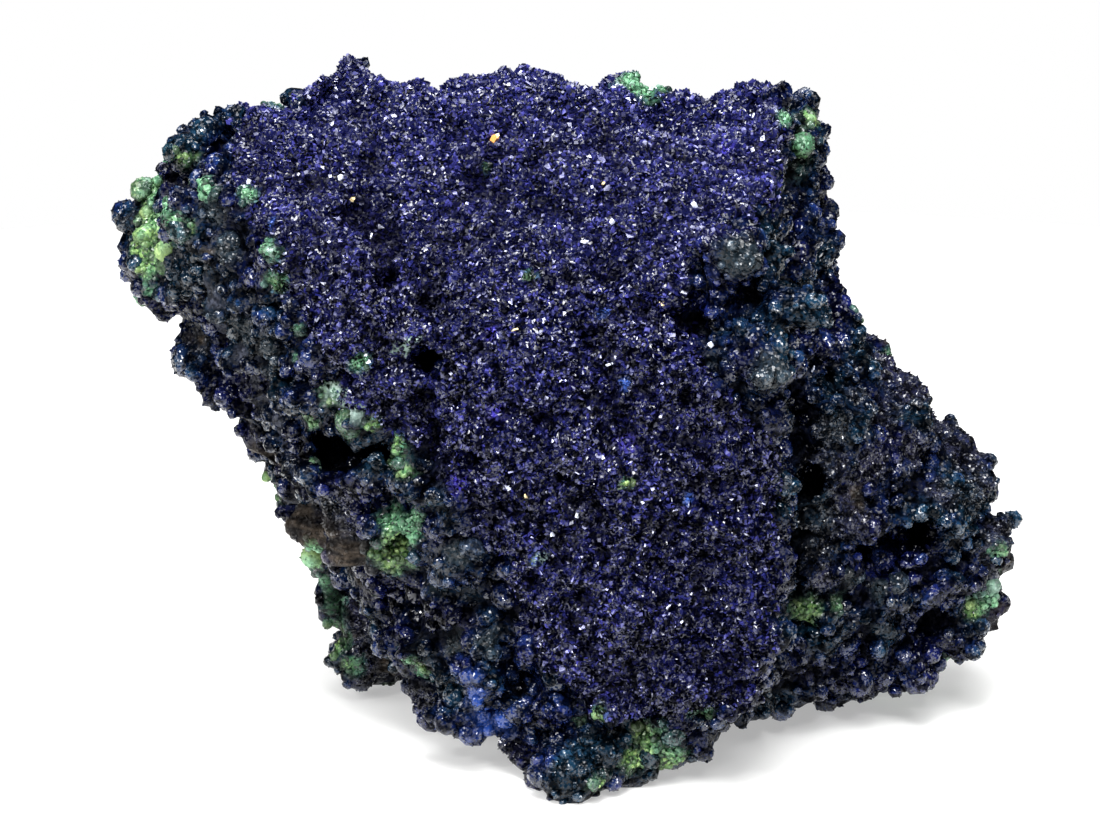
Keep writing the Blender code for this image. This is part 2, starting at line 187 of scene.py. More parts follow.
# Holes and grooves of the rock, in the same order.
HOLLOWS = [
    (430, 358, 3.0, -5.4), (424, 400, 1.7, -2.4), (428, 430, 1.7, -2.4), (430, 460, 2.0, -2.8),
    (432, 490, 1.8, -2.4), (473, 458, 1.7, -2.8), (386, 275, 1.4, -2.4), (378, 238, 2.6, -1.5),
    (355, 213, 2.4, -1.2), (304, 379, 1.4, -2.0), (224, 281, 1.4, -2.0), (335, 440, 2.8, -2.6),
    (370, 456, 2.8, -2.9), (415, 470, 2.0, -3.0), (385, 500, 1.5, -2.2), (444, 704, 1.2, -1.6),
    (405, 605, 1.8, -2.2), (448, 545, 1.2, -1.6), (437, 619, 1.3, -1.6), (531, 583, 1.3, -1.6),
    (381, 617, 1.0, -1.2), (586, 332, 1.3, -1.8), (586, 352, 1.0, -1.4), (490, 152, 1.7, -1.8),
    (476, 176, 1.5, -1.4), (500, 128, 1.1, -1.2), (545, 425, 1.2, -1.2), (640, 300, 1.4, -1.0),
    (560, 480, 1.4, -1.0), (690, 400, 1.5, -1.0), (600, 560, 1.4, -1.0), (420, 300, 1.4, -1.0),
    (650, 620, 1.4, -1.0), (827, 367, 1.4, -2.2), (877, 413, 1.3, -2.2), (916, 531, 2.0, -2.8),
    (934, 568, 1.8, -1.2), (694, 322, 1.4, -1.2), (785, 620, 1.4, -1.5), (804, 395, 2.0, -2.6),
    (804, 425, 2.0, -2.6), (804, 455, 2.0, -2.6), (804, 485, 2.0, -2.6), (804, 515, 2.0, -2.4),
    (803, 545, 1.8, -2.2), (801, 575, 1.8, -2.2), (797, 600, 1.5, -1.6),
]

# Places without balls, under fine crystals only: pixel x, pixel y, radius.
BARE_SPOTS = [
    (825, 470, 3.0), (850, 510, 3.0), (815, 540, 2.4), (830, 430, 2.2), (870, 470, 2.4), (820, 580, 1.8),
    (880, 420, 2.4), (915, 450, 2.4), (945, 490, 2.0), (860, 390, 1.8), (350, 600, 2.2), (358, 640, 2.4),
    (385, 660, 1.8), (354, 660, 1.6), (300, 470, 2.0), (325, 503, 2.2), (345, 520, 2.2), (308, 500, 1.6),
    (345, 498, 1.6), (880, 365, 3.0), (910, 390, 3.0), (938, 425, 3.0), (962, 455, 3.0), (985, 490, 2.6),
    (998, 533, 2.0), (418, 695, 2.6), (505, 752, 2.0), (355, 620, 2.4), (365, 670, 2.0),
]

# A smooth dull sheet over the balls of the left flank: pixel x, pixel y, radius.
SLATE_SPOTS = [
    (206, 286, 1.2), (215, 305, 1.3), (226, 328, 1.3), (240, 352, 1.3), (254, 378, 1.3), (268, 402, 1.2),
    (278, 424, 1.1),
]

# Knobs with a paler, grey to teal crust: pixel x, pixel y, radius.
TEAL_SPOTS = [
    (739, 255, 2.7), (767, 375, 2.3), (850, 577, 1.3), (877, 591, 1.3), (902, 582, 1.2), (458, 554, 1.7),
    (437, 583, 1.4), (456, 637, 1.9), (487, 645, 1.5), (330, 470, 1.4), (240, 330, 1.8), (270, 350, 1.5),
    (210, 210, 2.0), (225, 250, 1.6), (300, 300, 1.5),
]

# Larger single crystals: pixel x, pixel y, size, kind.
ACCENTS = [
    (494, 139, 0.45, "orange"), (497, 136, 0.3, "cream"), (352, 199, 0.34, "cream"),
    (515, 331, 0.34, "cream"), (603, 183, 0.28, "cream"), (662, 304, 0.3, "cream"),
    (526, 496, 0.28, "cream"), (341, 178, 0.36, "white"), (371, 237, 0.3, "white"),
    (585, 241, 0.36, "white"), (612, 222, 0.34, "white"), (694, 205, 0.34, "white"),
    (752, 115, 0.3, "white"), (763, 138, 0.32, "white"), (609, 364, 0.34, "white"),
    (578, 515, 0.4, "white"), (553, 534, 0.32, "white"), (509, 488, 0.32, "white"),
    (711, 345, 0.3, "white"), (813, 369, 0.3, "white"),
]

ACCENT_KINDS = ("white", "cream", "orange")
ACCENT_FORMS = ("block", "tablet")
ACCENT_LEAN = 0.6
ACCENT_SEED = 4

# Crystal forms: corners of convex bodies about one unit wide, with their roots below Z zero.
CRYSTAL_FORMS = {
    "wedge": [(-0.9, -0.5, -0.6), (0.9, -0.5, -0.6), (0.9, 0.5, -0.6), (-0.9, 0.5, -0.6),
              (-0.6, 0.1, 0.9), (0.55, -0.1, 0.75)],
    "tablet": [(-0.8, -0.22, -0.6), (0.8, -0.22, -0.6), (0.8, 0.22, -0.6), (-0.8, 0.22, -0.6),
               (-0.7, -0.2, 0.65), (0.45, -0.2, 1.05), (0.45, 0.2, 1.05), (-0.7, 0.2, 0.65)],
    "block": [(-0.65, -0.6, -0.6), (0.65, -0.6, -0.6), (0.65, 0.6, -0.6), (-0.65, 0.6, -0.6),
              (-0.5, -0.55, 0.45), (0.6, -0.5, 0.7), (0.45, 0.55, 0.6), (-0.6, 0.45, 0.3)],
    "peak": [(-0.7, -0.5, -0.6), (0.7, -0.5, -0.6), (0.7, 0.5, -0.6), (-0.7, 0.5, -0.6),
             (0.15, -0.1, 1.0), (-0.2, 0.3, 0.85)],
}
SMALL_FORMS = ("wedge", "peak")
SMALL_CRYSTALS = "Small crystals"

# Uneven balls: how many forms, points on each kind, where they are cut off, and how uneven they are.
BALL_FORMS = 5
BALL_POINTS = {"large": 40, "medium": 24, "grain": 16}
BALL_BOTTOM = -0.5
BALL_SINK = 0.22
BALL_JITTER = 0.1
BALL_SEED = 5
GOLDEN_ANGLE = math.pi * (3.0 - math.sqrt(5.0))

# Crusts of balls: piece, zone, kind of ball, spacing, and the smallest ball as a share of the largest.
BALL_CRUSTS = [
    ("grapes_large", "rind", "large", 2.5, 0.55),
    ("grapes_front", "rind_front", "medium", 1.15, 0.4),
    ("grapes_back", "rind_back", "medium", 1.5, 0.6),
    ("malachite_grains", "grains", "grain", 0.42, 0.17 / 0.42),
]
BALL_LEAN = 0.5

# Fine crystals on the bare places and over the balls: spacing, smallest and largest size, and lean.
FLANK_SPACING = 0.26
FLANK_SIZES = (0.13, 0.3)
FLANK_LEAN = 0.8
GLITTER_SPACING = 0.47
GLITTER_SIZES = (0.08, 0.17)
GLITTER_LEAN = 0.6

# How many places are tried for each crystal or ball that the spacing leaves.
PLATE_CROWDING = 3.0
CROWDING = 2.0

# The scatter's name and inputs, the draws for each form, and the spread of its size and proportions.
SCATTER = "Grow on surface"
SCATTER_INPUTS = [
    ("Geometry", "Geometry"), ("Zone", "String"), ("Spacing", "Float"), ("Density", "Float"),
    ("Smallest", "Float"), ("Largest", "Float"), ("Tilt", "Float"), ("Seed", "Int"),
    ("Forms", "Collection"), ("Material", "Material"),
]
SCATTER_SEEDS = {"lean_x": 11, "lean_y": 12, "spin": 13, "size": 14, "stretch": 15, "form": 16}
STORED_SEEDS = {"tint": 17, "gloss": 18}
SIZE_POWER = 1.6
STRETCH = ((0.8, 0.8, 0.8), (1.2, 1.2, 1.2))
FORM_DRAWS = 1000

# Relief of the rock under each crust: wave length, height, and whether creases part the rises.
DRUSE_RELIEF = [(7.0, 2.4, True), (2.8, 1.2, True), (1.4, 0.9, True)]
RIND_RELIEF = [(5.6, 3.2, True), (2.7, 1.9, True), (1.2, 0.6, False)]
RELIEF_MEAN = 0.24
RELIEF_SEED = 10

# How much less the rock is drawn in under the plate, and how calm the bare places and the feet are.
DRUSE_LIFT = 0.7
BROWN_SMOOTH = 0.6
BARE_CALM = 0.75
FOOT_HEIGHT = (0.0, 2.0)

# Creases: how deep the relief has to be for painted shade to darken the crust there, and how many balls
# they lose.
CREASE_DEPTH = (-0.25, -0.9)
HOLLOW_DEPTH = (-0.4, -1.6)
CREASE_LOSS = 0.45

# How far out of the rock a ball has to stand to be lit and to carry glitter, and the light on the rock.
OUTER_DEPTH = (-0.15, 0.35)
ROCK_LIGHT = 0.45

# Least share of the light that coloured places of the grape-like crust keep.
LIT_ZONES = {"green": 0.7, "brown": 0.52, "slate": 0.6, "azure": 0.7, "pale": 0.7, "teal": 0.35}

# Light lost in the small gaps of a crust: size of the gaps, least light, and where the gaps start and end.
CRUST_GAPS = (1.0, 0.12, 0.4)
DRUSE_GAPS = (0.8, 0.03, 0.43)
GAP_END = 0.57

# Colours that the zones add, as red, green and blue parts of the light given back.
PLATE_GROUND = (0.003, 0.004, 0.03)
BARE_GROUND = (0.02, 0.019, 0.022)
VIOLET = (0.05, 0.04, 0.4)
AZURE = (0.016, 0.055, 0.28)
PALE = (0.4, 0.56, 0.5)
# Painted shade: a near black colour laid into the creases of the grape-like crust and of the rock between.
CREASE_SHADE = (0.003, 0.003, 0.006)
DRUSE_AZURE = (0.05, 0.12, 0.45)
DRUSE_GREEN = (0.08, 0.2, 0.11)
# Painted shade: a near black colour laid into the creases of the plate's crystals.
DRUSE_CREASE_SHADE = (0.002, 0.002, 0.012)
BARE_SHARE = 0.6
# How much of the painted crease shade is laid over the colour.
CREASE_SHADE_SHARE = 0.8

# Shades of a colour along a ramp: place on the ramp, and the factors of the colour's parts.
SAME = (1.0, 1.0, 1.0)
NAVY_SHADES = [(0.38, (1.0, 0.6, 1.1)), (0.5, SAME), (0.62, (1.3, 1.9, 0.9))]
TEAL_FACTORS = (5.4, 3.0, 0.95)
TINT_SHADES = [(0.0, (0.25, 0.25, 0.25)), (1.0, (1.7, 1.7, 1.7))]
OLIVE_SHADES = [(0.46, SAME), (0.58, (1.4, 1.0, 0.62))]
MALACHITE_SHADES = [(0.15, (0.1, 0.14, 0.14)), (0.5, SAME), (0.85, (3.4, 2.3, 2.5))]
ROCK_SHADES = [(0.4, (0.12, 0.12, 0.15)), (0.5, (0.6, 0.6, 0.62)), (0.6, (1.1, 1.1, 1.12))]
SHEET_SHADES = [(0.4, (0.01, 0.012, 0.02)), (0.6, (0.04, 0.045, 0.066))]
DRUSE_SHADES = [
    (0.0, (0.03, 0.04, 0.13)), (0.45, (0.14, 0.18, 0.27)), (0.8, (0.35, 0.4, 0.5)), (1.0, SAME),
]
ACCENT_SHADES = [
    (0.0, (0.62, 0.66, 0.8)), (0.25, (0.75, 0.76, 0.8)), (0.5, (0.75, 0.6, 0.32)), (1.0, (0.7, 0.3, 0.08)),
]

# Sizes and detail of the patterns in the colours, and how the layers of the bare rock are drawn out.
DRIFT_SIZE = 6.0
SHEET_SIZE = 0.5
CLOUD_SIZE = 0.3
STRATA_SIZE = 1.2
STRATA_STRETCH = (0.4, 0.4, 1.6)
PLAIN_DETAIL = 2.0
FINE_DETAIL = 3.0
STRATA_DETAIL = 4.0

# Small crystal faces in the surface: their size, and how far they turn on the balls and on the rock.
FACET_SIZE = 0.22
BALL_FACET_TURN = 1.1
ROCK_FACET_TURN = 1.2

# How much a ball's own shade and its small faces' shade change its colour, and the latter on the rock.
BALL_TINT = 0.6
FACET_TINT = 0.4
ROCK_TINT = 0.8

# Gloss: roughness where a crust is clean and what dull places add, and shine and what they take.
BALL_ROUGHNESS = (0.09, 0.4)
ROCK_ROUGHNESS = (0.15, 0.3)
DRUSE_ROUGHNESS = (0.1, 0.22)
FULL_SHINE = 0.5
ROCK_SHINE_LOSS = 0.4
DRUSE_SHINE_LOSS = 0.35
SLATE_DULLNESS = 0.8
DRUSE_SHINE_TINT = (0.84, 0.86, 1.0, 1.0)
BALL_IOR = 1.6
DRUSE_IOR = 1.73
ACCENT_ROUGHNESS = 0.16
ACCENT_IOR = 1.6
ACCENT_CLOUDS = 0.3

# Painted light on the upper plate's crystals: what it adds to their place on the colour ramp, and their
# least light.
CROWN_PAINTED_LIGHT = 0.08
CROWN_LIGHT = 0.55

# Soft lights: name, place, width, and brightness. They all face a point above the floor's middle.
SOFTBOXES = [
    ("top_softbox", (-60, -40, 520), 400, 10.0),
    ("back_softbox", (60, 420, 420), 240, 4.0),
    ("left_softbox", (-440, -140, 260), 220, 8.0),
    ("right_softbox", (420, -60, 300), 160, 4.0),
    ("front_softbox", (-150, -480, 330), 180, 2.0),
    ("high_front_softbox", (0, -320, 470), 250, 14.0),
    ("near_softbox", (0, -100, 190), 60, 24.0),
    ("front_lamp", (120, -480, 470), 70, 60.0),
    ("left_lamp", (-300, -380, 420), 70, 80.0),
]
LIGHT_AIM = (0, 0, 30)
WHITE = (1.0, 1.0, 1.0, 1.0)
DOME_TOP = 0.9

# The floor: how many sides it has, the size and depth of its faint clouds, and its gloss.
FLOOR_SIDES = 96
FLOOR_CLOUD_SIZE = 60.0
FLOOR_CLOUD_SHADE = 0.985
FLOOR_ROUGHNESS = 0.28


def smooth_step(low, high, value):
    """Rises from 0 at low to 1 at high with soft ends, for a number or an array."""
    share = np.clip((value - low) / (high - low), 0.0, 1.0)
    return share * share * (3.0 - 2.0 * share)


def enabled_socket(sockets, name):
    """The socket of that name which the node uses in its present setting."""
    return next(s for s in sockets if s.name == name and s.enabled)


class TreeMaker:
    """Adds nodes and links to a node tree by short calls."""

    def __init__(self, tree):
        self.tree = tree

    def add(self, kind, settings=None, inputs=None):
        """A new node with its settings, and its inputs by name or number."""
        node = self.tree.nodes.new(kind)
        for name, value in (settings or {}).items():
            setattr(node, name, value)
        for name, value in (inputs or {}).items():
            socket = node.inputs[name] if isinstance(name, int) else enabled_socket(node.inputs, name)
            self.put(socket, value)
        return node

    def put(self, socket, value):
        """Links an output to the socket, or sets the socket's own value."""
        if isinstance(value, bpy.types.NodeSocket):
            self.tree.links.new(value, socket)
        else:
            socket.default_value = value

    def math(self, operation, first, second=0.0):
        node = self.add("ShaderNodeMath", {"operation": operation}, {0: first, 1: second})
        return node.outputs[0]

    def line(self, value, factor, start):
        """The value times a factor, added to the start."""
        return self.math("ADD", self.math("MULTIPLY", value, factor), start)

    def vector(self, operation, inputs):
        return self.add("ShaderNodeVectorMath", {"operation": operation}, inputs).outputs[0]

    def random(self, low, high, seed, data_type="FLOAT"):
        node = self.add("FunctionNodeRandomValue", {"data_type": data_type})
        self.put(enabled_socket(node.inputs, "Min"), low)
        self.put(enabled_socket(node.inputs, "Max"), high)
        node.inputs["Seed"].default_value = seed
        return enabled_socket(node.outputs, "Value")


# Camera rays


def camera_axes():
    """Place and axes of the photograph's camera: position, right, up, and towards the camera."""
    tilt = math.radians(ELEVATION)
    back = Vector((0.0, -math.cos(tilt), math.sin(tilt)))
    up = Vector((0.0, math.sin(tilt), math.cos(tilt)))
    place = (Vector(TARGET) + back * DISTANCE) * MM
    return place, Vector((1.0, 0.0, 0.0)), up, back


def seen_point(tree, pixel_x, pixel_y):
    """The point and normal of the surface seen at a pixel, or the nearest one to that line of sight."""
    place, right, up, back = camera_axes()
    across = right * (pixel_x - TARGET_PIXEL[0]) + up * (TARGET_PIXEL[1] - pixel_y)
    ray = (across - back * FOCAL_PIXELS).normalized()
    point, normal, _, _ = tree.ray_cast(place, ray)
    if point is None:
        middle = place + ray * DISTANCE * MM
        point, normal, _, _ = tree.find_nearest(middle)
    return point, normal


# Rock


def even_rock(voxel):
    """A closed, evenly meshed copy of the lump."""
    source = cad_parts[ROCK_NODE].data.copy()
    bm = bmesh.new()
    bm.from_mesh(source)
    bmesh.ops.remove_doubles(bm, verts=bm.verts, dist=MERGE_DISTANCE)
    bm.to_mesh(source)
    bm.free()
    obj = bpy.data.objects.new(ROCK, source)
    bpy.context.scene.collection.objects.link(obj)
    modifier = obj.modifiers.new("Even mesh", "REMESH")
    modifier.mode = "VOXEL"
    modifier.voxel_size = voxel * MM
    modifier.use_smooth_shade = True
    return applied(obj)


def applied(obj):
    """Turns what the modifiers make into the object's own plain mesh and removes them."""
    depsgraph = bpy.context.evaluated_depsgraph_get()
    mesh = bpy.data.meshes.new_from_object(obj.evaluated_get(depsgraph), depsgraph=depsgraph)
    old = obj.data
    obj.modifiers.clear()
    obj.data = mesh
    mesh.name = obj.name
    bpy.data.meshes.remove(old)
    return obj


def vertex_array(mesh, what):
    """The mesh's vertices or vertex_normals as rows of three numbers."""
    values = np.zeros(len(mesh.vertices) * 3, np.float32)
    getattr(mesh, what).foreach_get("co" if what == "vertices" else "vector", values)
    return values.reshape(-1, 3).astype(float)


def surface_tree(mesh):
    """The mesh's surface, for finding places on it."""
    return BVHTree.FromPolygons([v.co for v in mesh.vertices], [p.vertices[:] for p in mesh.polygons])


def noise_array(points, size, seed):
    """Smooth noise of the given wave length at each point, about -1 to 1."""
    shift = Vector([seed * step for step in NOISE_SHIFT])
    return np.array([noise.noise(Vector(p) / size + shift) for p in points])


def inside_outline(x, z, outline):
    """Signed distance to a closed outline, positive inside."""
    inside = np.zeros(len(x), bool)
    distance = np.full(len(x), FAR)
    for (x1, z1), (x2, z2) in zip(outline, outline[1:] + outline[:1]):
        crosses = (z1 > z) != (z2 > z)
        rise = z2 - z1 if abs(z2 - z1) > SLIVER else SLIVER
        inside ^= crosses & (x < (x2 - x1) * (z - z1) / rise + x1)
        share = np.clip(((x - x1) * (x2 - x1) + (z - z1) * rise) / ((x2 - x1) ** 2 + rise ** 2), 0, 1)
        distance = np.minimum(distance, np.hypot(x - x1 - share * (x2 - x1), z - z1 - share * rise))
    return np.where(inside, distance, -distance)


def spot_weights(points, tree, spots, wobble):
    """How much each point lies in one of the spots, with ragged borders."""
    weight = np.zeros(len(points))
    for pixel_x, pixel_y, radius in spots:
        centre, _ = seen_point(tree, pixel_x, pixel_y)
        away = np.linalg.norm(points - np.array(centre) / MM, axis=1)
        inside = smooth_step(*SPOT_BORDER, 1.0 - away / radius + wobble * SPOT_WOBBLE)
        weight = np.maximum(weight, inside)
    return weight


def rock_zones(points, normals, tree):
    """Weights of the crusts and colours at each point of the rock."""
    x, y, z = points.T
    ragged = noise_array(points, *RAGGED_NOISE)
    wobble = noise_array(points, *WOBBLE_NOISE)
    inside = inside_outline(x, z, DRUSE_OUTLINE) + ragged * DRUSE_RAGGED + wobble * DRUSE_WOBBLE
    faces_front = smooth_step(*PLATE_TURN, normals[:, 1]) + smooth_step(*PLATE_RISE, normals[:, 2])
    druse = smooth_step(-DRUSE_BORDER, DRUSE_BORDER, inside) * np.clip(faces_front, 0, 1)
    druse *= smooth_step(*PLATE_DEPTH, y + ragged * PLATE_RAGGED)
    hidden = smooth_step(*HIDDEN_DEPTH, y)
    drift = noise_array(points, *HIDDEN_GREEN_NOISE) + wobble * HIDDEN_GREEN_WOBBLE
    hidden_green = hidden * smooth_step(*HIDDEN_GREEN, drift)
    green = np.maximum(spot_weights(points, tree, GREEN_SPOTS, wobble), hidden_green)
    grainy = green * smooth_step(*WING_EDGE, x) * (1.0 - hidden)
    under = smooth_step(*UNDER_TURN, normals[:, 2]) * smooth_step(*UNDER_HEIGHT, z)
    bare = spot_weights(points, tree, BARE_SPOTS, wobble) * (1.0 - druse)
    rocky = noise_array(points, *HIDDEN_ROCK_NOISE) + HIDDEN_ROCK_RAGGED * ragged
    hidden_rock = hidden * smooth_step(*HIDDEN_ROCK, rocky)
    brown = np.maximum(spot_weights(points, tree, BROWN_SPOTS, wobble), hidden_rock * (1.0 - green))
    slate = spot_weights(points, tree, SLATE_SPOTS, SLATE_WOBBLE * wobble)
    rind = smooth_step(*RIND_BORDER, druse)
    for free in (under, bare, brown, slate):
        rind *= 1.0 - free
    balls = rind * (1.0 - GRAINY_BALLS * grainy)
    zones = {
        "druse": druse,
        "rind": balls,
        "rind_front": balls * (y < RIND_SPLIT_DEPTH),
        "rind_back": balls * (y >= RIND_SPLIT_DEPTH),
        "green": green,
        "grains": green * (BALLED_GRAINS + (1.0 - BALLED_GRAINS) * grainy),
        "azure": spot_weights(points, tree, AZURE_SPOTS, wobble),
        "pale": spot_weights(points, tree, PALE_SPOTS, wobble),
        "violet": spot_weights(points, tree, VIOLET_SPOTS, wobble),
        "brown": brown,
        "slate": slate,
        "teal": spot_weights(points, tree, TEAL_SPOTS, wobble),
        "bare": np.maximum(bare, BROWN_CRYSTALS * brown) * (1.0 - green) * (1.0 - slate),
        # Painted light: the upper plate, where the crystals are drawn brighter.
        "crown": smooth_step(*CROWN_HEIGHT, z + CROWN_RAGGED * ragged),
        "outer": np.maximum.reduce([druse, green, bare, brown, slate, np.full(len(x), ROCK_LIGHT)]),
    }
    for band, (low, high) in DRUSE_BANDS.items():
        zones[f"druse_{band}"] = druse * (z >= low) * (z < high)
    return zones


def relief(points, waves):
    """Height of the rises and creases at each point."""
    height = np.zeros(len(points))
    for number, (size, amount, creased) in enumerate(waves):
        wave = noise_array(points, size, RELIEF_SEED + number)
        height += amount * ((np.abs(wave) - RELIEF_MEAN) if creased else wave)
    return height


def pushed(points, tree, places):
    """How far the given rises or hollows move each point out."""
    total = np.zeros(len(points))
    for pixel_x, pixel_y, radius, height in places:
        centre, _ = seen_point(tree, pixel_x, pixel_y)
        away = np.linalg.norm(points - np.array(centre) / MM, axis=1) / radius
        total += height * np.clip(1.0 - away ** 2, 0.0, 1.0) ** 2
    return total


def mark_outer(mesh, tree):
    """Stores how far each point of a crust stands out of the rock: 0 in the gaps, 1 outside."""
    depth = np.zeros(len(mesh.vertices))
    for index, vert in enumerate(mesh.vertices):
        nearest, normal, _, _ = tree.find_nearest(vert.co)
        depth[index] = (vert.co - nearest).dot(normal) / MM
    outer = mesh.attributes.get("outer") or mesh.attributes.new("outer", "FLOAT", "POINT")
    outer.data.foreach_set("value", smooth_step(*OUTER_DEPTH, depth).astype(np.float32))


def shape_rock(obj, sink, roughness):
    """Draws the surface in, so that the crusts end where the lump does, and roughens it."""
    mesh = obj.data
    points = vertex_array(mesh, "vertices") / MM
    normals = vertex_array(mesh, "vertex_normals")
    tree = surface_tree(mesh)
    zones = rock_zones(points, normals, tree)
    depth = sink * (1.0 - DRUSE_LIFT * zones["druse"])
    smooth = np.maximum.reduce([zones["bare"], BROWN_SMOOTH * zones["brown"], zones["slate"]])
    rise = relief(points, DRUSE_RELIEF) * zones["druse"]
    rise += relief(points, RIND_RELIEF) * (1.0 - zones["druse"]) * (1.0 - BARE_CALM * smooth)
    push = pushed(points, tree, RISES)
    hollow = pushed(points, tree, HOLLOWS)
    # Crease weight: where the relief sinks in. The materials paint shade there, and the rind loses balls
    # there.
    crease = np.maximum(smooth_step(*CREASE_DEPTH, rise + hollow + np.maximum(push, 0.0)),
                        smooth_step(*HOLLOW_DEPTH, hollow))
    calm = smooth_step(*FOOT_HEIGHT, points[:, 2])
    points += normals * ((rise * roughness - depth) * calm + push + hollow)[:, None]
    points[:, 2] = np.maximum(points[:, 2], 0.0)
    mesh.vertices.foreach_set("co", (points * MM).astype(np.float32).ravel())
    mesh.update()
    zones = rock_zones(points, normals, surface_tree(mesh))
    zones["crease"] = crease
    for crust in ("rind", "rind_front", "rind_back"):
        zones[crust] *= 1.0 - CREASE_LOSS * crease
    for name, weight in zones.items():
        layer = mesh.attributes.new(name, "FLOAT", "POINT")
        layer.data.foreach_set("value", weight.astype(np.float32))
    mesh.update()


# Materials


def new_material(name):
    """A material with its node maker and its shader."""
    material = bpy.data.materials.new(name)
    material.use_nodes = True
    maker = TreeMaker(material.node_tree)
    shader = material.node_tree.nodes["Principled BSDF"]
    return material, maker, shader


def ramp(maker, value, stops):
    """A colour ramp with the given stops: position and colour."""
    node = maker.add("ShaderNodeValToRGB", None, {"Fac": value})
    elements = node.color_ramp.elements
    while len(elements) < len(stops):
        elements.new(0.5)
    for element, (position, colour) in zip(elements, stops):
        element.position = position
        element.color = (*colour, 1.0)
    return node.outputs["Color"]


def mixed(maker, share, first, second):
    """The second colour over the first, by the given share."""
    node = maker.add("ShaderNodeMix", {"data_type": "RGBA"}, {"Factor": share})
    for name, colour in (("A", first), ("B", second)):
        whole = colour if isinstance(colour, bpy.types.NodeSocket) else (*colour, 1.0)
        maker.put(enabled_socket(node.inputs, name), whole)
    return enabled_socket(node.outputs, "Result")


def point_value(maker, name):
    """What the mesh stores under that name."""
    return maker.add("ShaderNodeAttribute", {"attribute_name": name}).outputs["Fac"]


def pattern(maker, size, detail=PLAIN_DETAIL, stretch=SAME):
    """Noise with features of about the given size, in object space."""
    place = maker.add("ShaderNodeTexCoord").outputs["Object"]
    place = maker.vector("MULTIPLY", {0: place, 1: stretch})
    node = maker.add("ShaderNodeTexNoise", None,
                     {"Vector": place, "Scale": 1.0 / (size * MM), "Detail": detail})
    return node.outputs["Fac"]


def strata(maker):
    """Noise drawn out sideways, like the layers of the bare rock."""
    return pattern(maker, STRATA_SIZE, STRATA_DETAIL, STRATA_STRETCH)


def facet_normal(maker, size, tilt):
    """A surface normal that turns at random from one small cell to the next, as a crystal crust's does."""
    place = maker.add("ShaderNodeTexCoord").outputs["Object"]
    cells = maker.add("ShaderNodeTexVoronoi", {"feature": "F1"},
                      {"Vector": place, "Scale": 1.0 / (size * MM)})
    centred = maker.vector("SUBTRACT", {0: cells.outputs["Color"], 1: (0.5, 0.5, 0.5)})
    turned = maker.vector("SCALE", {0: centred, "Scale": tilt})
    plain = maker.add("ShaderNodeNewGeometry").outputs["Normal"]
    normal = maker.vector("NORMALIZE", {0: maker.vector("ADD", {0: plain, 1: turned})})
    return normal, maker.add("ShaderNodeSeparateColor", None, {"Color": cells.outputs["Color"]}).outputs[0]


def scaled(colour, factors):
    """A colour with each of its parts multiplied."""
    return tuple(min(part * factor, 1.0) for part, factor in zip(colour, factors))


def shades(colour, stops):
    """Stops of a ramp through shades of one colour."""
    return [(place, scaled(colour, factors)) for place, factors in stops]


def gap_light(maker, size, darkest, start):
    """Share of the light that gets into the crust: less in its small gaps."""
    reach = maker.add("ShaderNodeMapRange", {"interpolation_type": "SMOOTHSTEP"}, {
        "Value": pattern(maker, size), "From Min": start, "From Max": GAP_END,
        "To Min": darkest, "To Max": 1.0})
    return enabled_socket(reach.outputs, "Result")


def crust_light(maker):
    """Share of the light on the grape-like crust: little between the balls, most on the coloured places."""
    light = maker.math("MULTIPLY", gap_light(maker, *CRUST_GAPS), point_value(maker, "outer"))
    for zone, share in LIT_ZONES.items():
        light = maker.math("MAXIMUM", light, maker.math("MULTIPLY", point_value(maker, zone), share))
    return light


def dimmed(maker, colour, share):
    """The colour, as dark as the share of the light makes it."""
    return maker.vector("SCALE", {0: colour, "Scale": share})


def crust_colour(maker, tint):
    """Colour of the grape-like crust from its zones: navy and teal, with the coloured places and painted
    shade in the creases.
    """
    grapes = bpy.context.scene.azurite_grapes
    navy = grapes.azurite_colour
    rock = bpy.context.scene.azurite_rock.rock_colour
    drift = pattern(maker, DRIFT_SIZE, FINE_DETAIL)
    ground = ramp(maker, drift, shades(navy, NAVY_SHADES))
    ground = mixed(maker, point_value(maker, "teal"), ground, scaled(navy, TEAL_FACTORS))
    colour = maker.vector("MULTIPLY", {0: ground, 1: ramp(maker, tint, TINT_SHADES)})
    green = maker.vector("MULTIPLY", {
        0: ramp(maker, tint, shades(grapes.malachite_colour, MALACHITE_SHADES)),
        1: ramp(maker, drift, OLIVE_SHADES)})
    for zone, share, paint in (
        ("druse", 1.0, PLATE_GROUND),
        ("bare", BARE_SHARE, BARE_GROUND),
        ("violet", 1.0, VIOLET),
        ("brown", 1.0, ramp(maker, strata(maker), shades(rock, ROCK_SHADES))),
        ("slate", 1.0, ramp(maker, pattern(maker, SHEET_SIZE, FINE_DETAIL), SHEET_SHADES)),
        ("azure", 1.0, AZURE),
        ("green", 1.0, green),
        ("pale", 1.0, PALE),
        # Painted shade: the creases are darkened in the colour.
        ("crease", CREASE_SHADE_SHARE, CREASE_SHADE),
    ):
        colour = mixed(maker, maker.math("MULTIPLY", point_value(maker, zone), share), colour, paint)
    return colour


